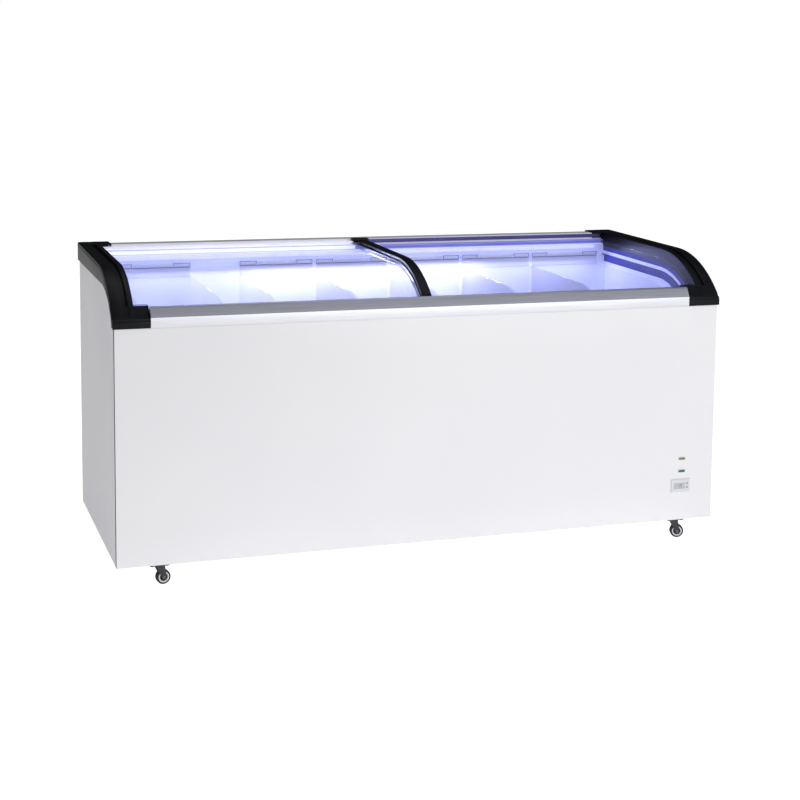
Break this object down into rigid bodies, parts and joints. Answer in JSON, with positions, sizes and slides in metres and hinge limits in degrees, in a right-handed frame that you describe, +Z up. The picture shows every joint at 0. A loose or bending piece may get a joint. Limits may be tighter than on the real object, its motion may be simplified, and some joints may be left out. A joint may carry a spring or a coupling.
{
  "type": "display chest freezer",
  "caption": "Low chest freezer with sliding curved-glass lids on two track levels, lit liner with hanging bins, front signal lamps and swivel casters.",
  "frame": {"origin": "on the floor, below the middle of the bounding box", "axes": "+X along the cabinet to the right as the customer stands, +Y from the customer towards the back, +Z up"},
  "size_m": [1.81, 0.72, 0.87],
  "materials": {
    "white_steel": "satin",
    "galvanised_steel": "satin",
    "foam": "matte",
    "liner_sheet": "satin",
    "copper": "satin",
    "black_frame": "satin",
    "inner_trim": "gloss",
    "satin_aluminium": "satin",
    "white_plastic": "satin",
    "grey_plastic": "satin",
    "led_diffuser": "satin",
    "amber_lens": "gloss",
    "green_lens": "gloss",
    "pale_plastic": "satin",
    "display_window": "gloss",
    "black_iron": "satin",
    "fin_stock": "satin",
    "screw_steel": "polished",
    "black_plastic": "satin",
    "black_steel": "satin",
    "lid_glass": "gloss",
    "runner_plastic": "satin",
    "clear_plastic": "gloss",
    "hub_plastic": "satin",
    "tyre": "matte"
  },
  "bodies": {
    "root": {"front_panel": "white_steel", "left_side_panel": "white_steel", "right_side_panel": "white_steel", "back_panel": "white_steel", "base_pan": "galvanised_steel", "foam_insulation": "foam", "inner_liner": "liner_sheet", "evaporator_coil": "copper", "left_end_frame": "black_frame", "right_end_frame": "black_frame", "left_inner_trim": "inner_trim", "right_inner_trim": "inner_trim", "front_rail": "satin_aluminium", "rear_rail": "white_plastic", "front_track": "grey_plastic", "led_strip": "led_diffuser", "amber_lamp": "amber_lens", "green_lamp": "green_lens", "controller_bezel": "pale_plastic", "controller_display": "display_window", "compressor": "black_iron", "condenser": "fin_stock", "fan_motor": "grey_plastic", "refrigerant_pipes": "copper", "vent_grille": "white_plastic", "grille_screws": "screw_steel", "cord_gland": "black_plastic", "drain_spigot": "white_plastic", "caster_plates": "black_steel"},
    "left_lid": {"left_lid_glass": "lid_glass", "left_lid_bar": "black_frame", "left_lid_blocks": "black_plastic", "left_lid_runners": "runner_plastic"},
    "right_lid": {"right_lid_glass": "lid_glass", "right_lid_runners": "grey_plastic"},
    "fan": {"fan_blades": "grey_plastic"},
    "up_key": {"up_button": "pale_plastic"},
    "down_key": {"down_button": "pale_plastic"},
    "hanging_bin_1": {"bin_1": "clear_plastic"},
    "hanging_bin_2": {"bin_2": "clear_plastic"},
    "hanging_bin_3": {"bin_3": "clear_plastic"},
    "hanging_bin_4": {"bin_4": "clear_plastic"},
    "hanging_bin_5": {"bin_5": "clear_plastic"},
    "hanging_bin_6": {"bin_6": "clear_plastic"},
    "front_left_swivel": {"front_left_fork": "black_steel"},
    "front_left_wheel": {"front_left_hub": "hub_plastic", "front_left_tyre": "tyre"},
    "front_right_swivel": {"front_right_fork": "black_steel"},
    "front_right_wheel": {"front_right_hub": "hub_plastic", "front_right_tyre": "tyre"},
    "back_left_swivel": {"back_left_fork": "black_steel"},
    "back_left_wheel": {"back_left_hub": "hub_plastic", "back_left_tyre": "tyre"},
    "back_right_swivel": {"back_right_fork": "black_steel"},
    "back_right_wheel": {"back_right_hub": "hub_plastic", "back_right_tyre": "tyre"}
  },
  "joints": [
    {"name": "left_lid_slide", "type": "slide", "parent": "root", "child": "left_lid", "axis": [1, 0, 0], "range_m": [0, 0.76]},
    {"name": "right_lid_slide", "type": "slide", "parent": "root", "child": "right_lid", "axis": [-1, 0, 0], "range_m": [0, 0.76]},
    {"name": "fan_spin", "type": "hinge", "parent": "root", "child": "fan", "pos_m": [0.795, -0.04, 0.1895], "axis": [1, 0, 0], "continuous": true},
    {"name": "up_key_press", "type": "slide", "parent": "root", "child": "up_key", "axis": [0, 1, 0], "range_m": [0, 0.001], "stiffness_N_per_m": 150, "springref_m": -0.0005},
    {"name": "down_key_press", "type": "slide", "parent": "root", "child": "down_key", "axis": [0, 1, 0], "range_m": [0, 0.001], "stiffness_N_per_m": 150, "springref_m": -0.0005},
    {"name": "bin_1_lift", "type": "slide", "parent": "root", "child": "hanging_bin_1", "axis": [0, 0, 1], "range_m": [0, 0.015]},
    {"name": "bin_2_lift", "type": "slide", "parent": "root", "child": "hanging_bin_2", "axis": [0, 0, 1], "range_m": [0, 0.015]},
    {"name": "bin_3_lift", "type": "slide", "parent": "root", "child": "hanging_bin_3", "axis": [0, 0, 1], "range_m": [0, 0.015]},
    {"name": "bin_4_lift", "type": "slide", "parent": "root", "child": "hanging_bin_4", "axis": [0, 0, 1], "range_m": [0, 0.015]},
    {"name": "bin_5_lift", "type": "slide", "parent": "root", "child": "hanging_bin_5", "axis": [0, 0, 1], "range_m": [0, 0.015]},
    {"name": "bin_6_lift", "type": "slide", "parent": "root", "child": "hanging_bin_6", "axis": [0, 0, 1], "range_m": [0, 0.015]},
    {"name": "front_left_swivel_turn", "type": "hinge", "parent": "root", "child": "front_left_swivel", "pos_m": [-0.783, -0.3335, 0.053], "axis": [0, 0, 1], "continuous": true},
    {"name": "front_left_wheel_roll", "type": "hinge", "parent": "front_left_swivel", "child": "front_left_wheel", "pos_m": [-0.77112, -0.33183, 0.02], "axis": [-0.1392, 0.9903, 0], "continuous": true},
    {"name": "front_right_swivel_turn", "type": "hinge", "parent": "root", "child": "front_right_swivel", "pos_m": [0.783, -0.3335, 0.053], "axis": [0, 0, 1], "continuous": true},
    {"name": "front_right_wheel_roll", "type": "hinge", "parent": "front_right_swivel", "child": "front_right_wheel", "pos_m": [0.79441, -0.33721, 0.02], "axis": [0.309, 0.9511, 0], "continuous": true},
    {"name": "back_left_swivel_turn", "type": "hinge", "parent": "root", "child": "back_left_swivel", "pos_m": [-0.783, 0.3335, 0.053], "axis": [0, 0, 1], "continuous": true},
    {"name": "back_left_wheel_roll", "type": "hinge", "parent": "back_left_swivel", "child": "back_left_wheel", "pos_m": [-0.77989, 0.32191, 0.02], "axis": [0.9659, 0.2588, 0], "continuous": true},
    {"name": "back_right_swivel_turn", "type": "hinge", "parent": "root", "child": "back_right_swivel", "pos_m": [0.783, 0.3335, 0.053], "axis": [0, 0, 1], "continuous": true},
    {"name": "back_right_wheel_roll", "type": "hinge", "parent": "back_right_swivel", "child": "back_right_wheel", "pos_m": [0.78611, 0.32191, 0.02], "axis": [0.9659, 0.2588, 0], "continuous": true}
  ]
}
